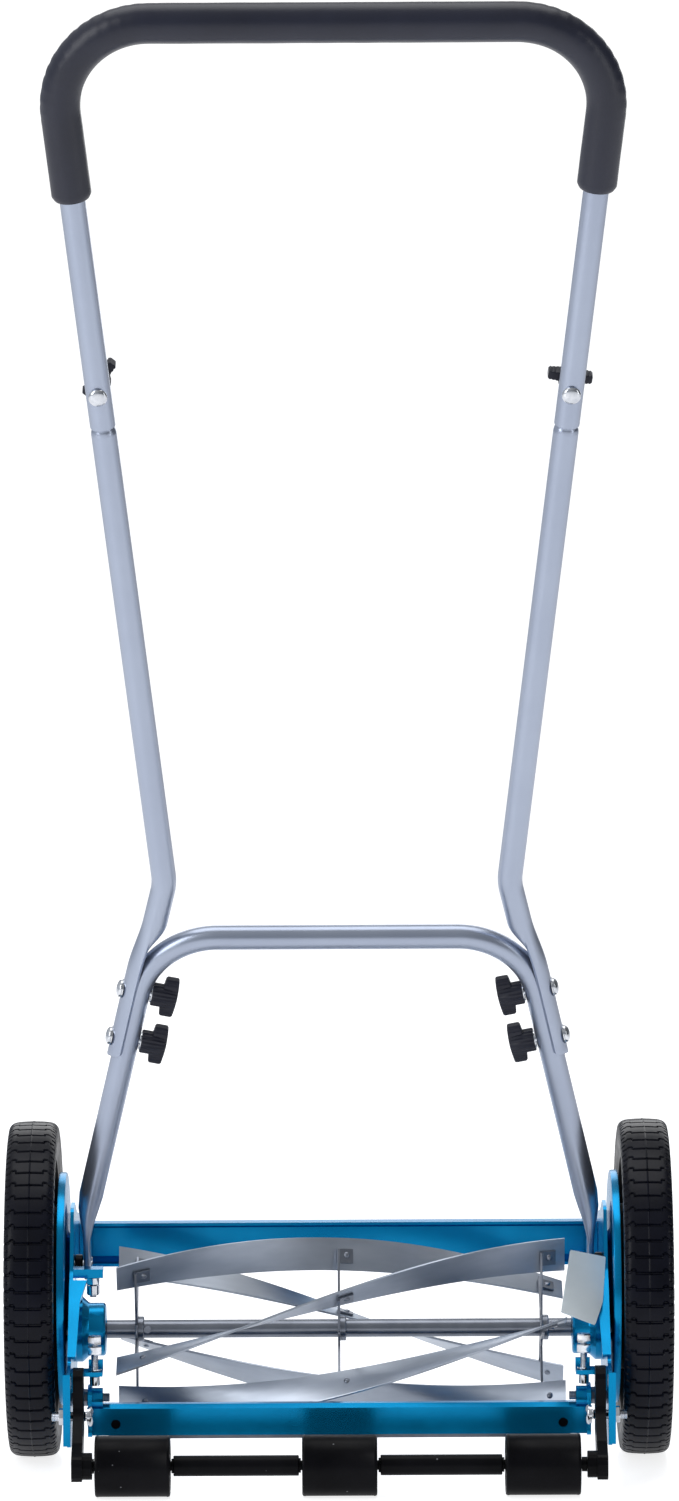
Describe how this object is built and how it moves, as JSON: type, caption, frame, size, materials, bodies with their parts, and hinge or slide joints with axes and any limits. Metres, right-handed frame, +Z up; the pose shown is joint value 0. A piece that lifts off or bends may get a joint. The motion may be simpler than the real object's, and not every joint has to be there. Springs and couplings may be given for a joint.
{
  "type": "reel mower",
  "caption": "Push reel lawn mower with two geared drive wheels, a helical cutting reel over a bed knife, rear height rollers and a jointed tube handle with a foam grip.",
  "frame": {"origin": "on the ground at the middle of the overall footprint", "axes": "+X to the operator's right along the reel, +Y the mowing direction, +Z up"},
  "size_m": [0.549, 0.6314, 1.2032],
  "materials": {
    "tube_paint": "silver powder coat with a faint blue cast",
    "foam": "matt closed-cell foam",
    "chrome": "bright zinc and chrome fasteners",
    "black_plastic": "moulded, satin",
    "blue_paint": "glossy bright blue enamel on pressed steel",
    "blade_steel": "ground and lightly brushed",
    "steel": "plain bright steel",
    "tyre": "matt moulded tread",
    "guard_plastic": "frosted clear plastic"
  },
  "bodies": {
    "frame": {"side_plate_left": "blue_paint", "side_plate_right": "blue_paint", "dust_cover_left": "blue_paint", "dust_cover_right": "blue_paint", "handle_stud_left": "chrome", "handle_stud_right": "chrome", "axle_stud_left": "chrome", "axle_stud_right": "chrome", "bearing_housing_left": "blue_paint", "bearing_housing_right": "blue_paint", "bed_adjuster_left": "chrome", "bed_adjuster_right": "chrome", "bracket_bolt_left": "chrome", "bracket_bolt_right": "chrome", "bed_pivot_bolt_left": "steel", "bed_pivot_bolt_right": "steel", "front_tie_bar": "blue_paint", "reel_end_guard": "guard_plastic"},
    "bed": {"bed_bar": "blue_paint", "bed_knife": "steel"},
    "reel": {"reel_shaft": "steel", "reel_spider_left": "steel", "reel_spider_middle": "steel", "reel_spider_right": "steel", "reel_blade_1": "blade_steel", "reel_blade_2": "blade_steel", "reel_blade_3": "blade_steel", "reel_blade_4": "blade_steel", "reel_blade_5": "blade_steel", "drive_pawl_left": "steel", "drive_pawl_right": "steel"},
    "left_pinion": {"drive_pinion_left": "steel"},
    "right_pinion": {"drive_pinion_right": "steel"},
    "left_wheel": {"wheel_left": "black_plastic", "tyre_left": "tyre"},
    "right_wheel": {"wheel_right": "black_plastic", "tyre_right": "tyre"},
    "roller_carriage": {"roller_bracket_left": "black_plastic", "roller_bracket_right": "black_plastic", "roller_axle": "black_plastic"},
    "left_roller": {"roller_left": "black_plastic"},
    "middle_roller": {"roller_middle": "black_plastic"},
    "right_roller": {"roller_right": "black_plastic"},
    "handle": {"upper_handle_tube": "tube_paint", "foam_grip": "foam", "lower_handle_tube": "tube_paint", "middle_tube_left": "tube_paint", "middle_tube_right": "tube_paint", "joint_bolt_left": "chrome", "joint_bolt_right": "chrome", "clamp_bolt_upper_left": "chrome", "clamp_bolt_upper_right": "chrome", "clamp_bolt_lower_left": "chrome", "clamp_bolt_lower_right": "chrome"},
    "left_upper_clamp_knob": {"clamp_knob_upper_left": "black_plastic"},
    "right_upper_clamp_knob": {"clamp_knob_upper_right": "black_plastic"},
    "left_lower_clamp_knob": {"clamp_knob_lower_left": "black_plastic"},
    "right_lower_clamp_knob": {"clamp_knob_lower_right": "black_plastic"},
    "left_joint_knob": {"joint_knob_left": "black_plastic"},
    "right_joint_knob": {"joint_knob_right": "black_plastic"}
  },
  "joints": [
    {"name": "left_wheel_spin", "type": "hinge", "parent": "frame", "child": "left_wheel", "pos_m": [0, 0.17575, 0.14], "axis": [1, 0, 0], "continuous": true},
    {"name": "right_wheel_spin", "type": "hinge", "parent": "frame", "child": "right_wheel", "pos_m": [0, 0.17575, 0.14], "axis": [1, 0, 0], "continuous": true},
    {"name": "reel_spin", "type": "hinge", "parent": "frame", "child": "reel", "pos_m": [0, 0.14574, 0.11061], "axis": [1, 0, 0], "continuous": true},
    {"name": "left_pinion_spin", "type": "hinge", "parent": "frame", "child": "left_pinion", "pos_m": [0, 0.14574, 0.11061], "axis": [1, 0, 0], "continuous": true},
    {"name": "right_pinion_spin", "type": "hinge", "parent": "frame", "child": "right_pinion", "pos_m": [0, 0.14574, 0.11061], "axis": [1, 0, 0], "continuous": true},
    {"name": "handle_pivot", "type": "hinge", "parent": "frame", "child": "handle", "pos_m": [0, 0.15575, 0.163], "axis": [1, 0, 0], "range_deg": [-95, 16]},
    {"name": "bed_tilt", "type": "hinge", "parent": "frame", "child": "bed", "pos_m": [0, 0.07575, 0.066], "axis": [1, 0, 0], "range_deg": [-4, 0]},
    {"name": "roller_height", "type": "slide", "parent": "frame", "child": "roller_carriage", "axis": [0, 0, 1], "range_m": [-0.012, 0.012]},
    {"name": "left_roller_spin", "type": "hinge", "parent": "roller_carriage", "child": "left_roller", "pos_m": [0, -0.00925, 0.025], "axis": [1, 0, 0], "continuous": true},
    {"name": "middle_roller_spin", "type": "hinge", "parent": "roller_carriage", "child": "middle_roller", "pos_m": [0, -0.00925, 0.025], "axis": [1, 0, 0], "continuous": true},
    {"name": "right_roller_spin", "type": "hinge", "parent": "roller_carriage", "child": "right_roller", "pos_m": [0, -0.00925, 0.025], "axis": [1, 0, 0], "continuous": true},
    {"name": "left_upper_clamp_knob_spin", "type": "hinge", "parent": "handle", "child": "left_upper_clamp_knob", "pos_m": [-0.16217, 0.04756, 0.406], "axis": [0.9775, 0.0858, -0.1928], "continuous": true},
    {"name": "right_upper_clamp_knob_spin", "type": "hinge", "parent": "handle", "child": "right_upper_clamp_knob", "pos_m": [0.16217, 0.04756, 0.406], "axis": [0.9775, -0.0858, 0.1928], "continuous": true},
    {"name": "left_lower_clamp_knob_spin", "type": "hinge", "parent": "handle", "child": "left_lower_clamp_knob", "pos_m": [-0.17189, 0.06586, 0.36489], "axis": [0.9775, 0.0858, -0.1928], "continuous": true},
    {"name": "right_lower_clamp_knob_spin", "type": "hinge", "parent": "handle", "child": "right_lower_clamp_knob", "pos_m": [0.17189, 0.06586, 0.36489], "axis": [0.9775, -0.0858, 0.1928], "continuous": true},
    {"name": "left_joint_knob_spin", "type": "hinge", "parent": "handle", "child": "left_joint_knob", "pos_m": [-0.18385, -0.17411, 0.90389], "axis": [0, 0.9135, 0.4067], "continuous": true},
    {"name": "right_joint_knob_spin", "type": "hinge", "parent": "handle", "child": "right_joint_knob", "pos_m": [0.18385, -0.17411, 0.90389], "axis": [0, 0.9135, 0.4067], "continuous": true}
  ],
  "couplings": [
    {"joint": "left_pinion_spin", "follows": "left_wheel_spin", "ratio": 3.3333},
    {"joint": "reel_spin", "follows": "left_wheel_spin", "ratio": 3.3333},
    {"joint": "right_pinion_spin", "follows": "right_wheel_spin", "ratio": 3.3333}
  ]
}
